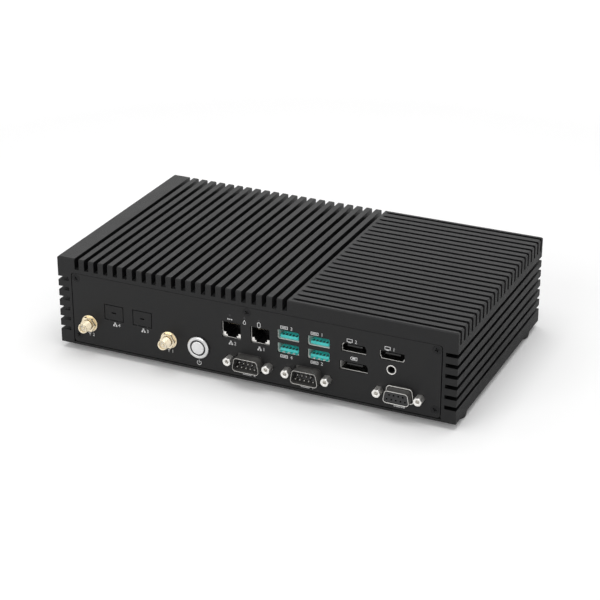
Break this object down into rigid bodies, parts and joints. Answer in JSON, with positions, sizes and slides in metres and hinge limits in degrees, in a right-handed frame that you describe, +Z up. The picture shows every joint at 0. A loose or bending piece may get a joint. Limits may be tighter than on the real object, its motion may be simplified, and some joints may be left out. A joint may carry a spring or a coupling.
{
  "type": "fanless industrial pc",
  "caption": "Fanless industrial computer in a black milled heat-sink housing with crossed fins, a front panel of ports, a lit power button and rubber feet.",
  "frame": {"origin": "on the ground, under the middle of the whole object's footprint, jacks and screws counted", "axes": "+X to the right along the port side, +Y from the port side to the back, +Z up"},
  "size_m": [0.255, 0.1596, 0.0605],
  "materials": {
    "anodised_aluminium": "black satin anodised over a milled surface",
    "panel_steel": "fine black powder coat",
    "black_zinc_steel": "black zinc, satin",
    "nickel_steel": "bright nickel plate",
    "black_nickel_steel": "black nickel plate",
    "gold_brass": "pale gold plate",
    "stainless_steel": "satin",
    "black_plastic": "moulded",
    "grey_plastic": "moulded",
    "teal_plastic": "moulded",
    "clear_plastic": "clear",
    "foot_rubber": "matt",
    "circuit_board": "green solder mask",
    "raw_aluminium": "milled",
    "thermal_gel": "soft"
  },
  "bodies": {
    "computer": {"heatsink_housing": "anodised_aluminium", "front_panel": "panel_steel", "rear_panel": "panel_steel", "bottom_cover": "panel_steel", "countersunk_screws": "black_zinc_steel", "foot_screws": "black_zinc_steel", "mainboard_screws": "nickel_steel", "heat_spreader_screws": "nickel_steel", "card_screws": "nickel_steel", "earth_screw": "nickel_steel", "jackscrews": "nickel_steel", "rubber_foot_front_left": "foot_rubber", "rubber_foot_front_right": "foot_rubber", "rubber_foot_rear_left": "foot_rubber", "rubber_foot_rear_right": "foot_rubber", "power_button_bezel": "stainless_steel", "power_button_light_ring": "black_plastic", "power_button_switch": "black_plastic", "power_button_nut": "nickel_steel", "antenna_jack_1": "gold_brass", "antenna_jack_2": "gold_brass", "antenna_nuts": "gold_brass", "antenna_washers": "gold_brass", "antenna_pigtails": "black_plastic", "light_pipe": "clear_plastic", "lan_shield_1": "nickel_steel", "lan_shield_2": "nickel_steel", "lan_insert_1": "black_plastic", "lan_insert_2": "black_plastic", "lan_contacts": "gold_brass", "com_shell_1": "black_nickel_steel", "com_shell_2": "black_nickel_steel", "com_insulator_1": "black_plastic", "com_insulator_2": "black_plastic", "com_pins": "gold_brass", "gpio_shell": "black_nickel_steel", "gpio_insulator": "black_plastic", "gpio_contacts": "gold_brass", "usb_shell_left": "nickel_steel", "usb_shell_right": "nickel_steel", "usb_insert_left": "teal_plastic", "usb_insert_right": "teal_plastic", "display_shell_upper": "nickel_steel", "display_shell_lower": "nickel_steel", "display_body": "grey_plastic", "media_shell": "nickel_steel", "media_body": "grey_plastic", "sound_jack": "black_plastic", "sound_jack_ring": "nickel_steel", "power_inlet": "black_plastic", "power_inlet_pins": "nickel_steel", "mainboard": "circuit_board", "processor": "circuit_board", "thermal_pad": "thermal_gel", "heat_spreader": "raw_aluminium", "memory_card": "circuit_board", "ssd_card": "circuit_board", "wireless_card": "circuit_board", "coin_cell": "stainless_steel"},
    "power_button": {"power_button_cap": "stainless_steel"}
  },
  "joints": [
    {"name": "power_button_press", "type": "slide", "parent": "computer", "child": "power_button", "axis": [0, 1, 0], "range_m": [0, 0.0012], "stiffness_N_per_m": 1500}
  ]
}
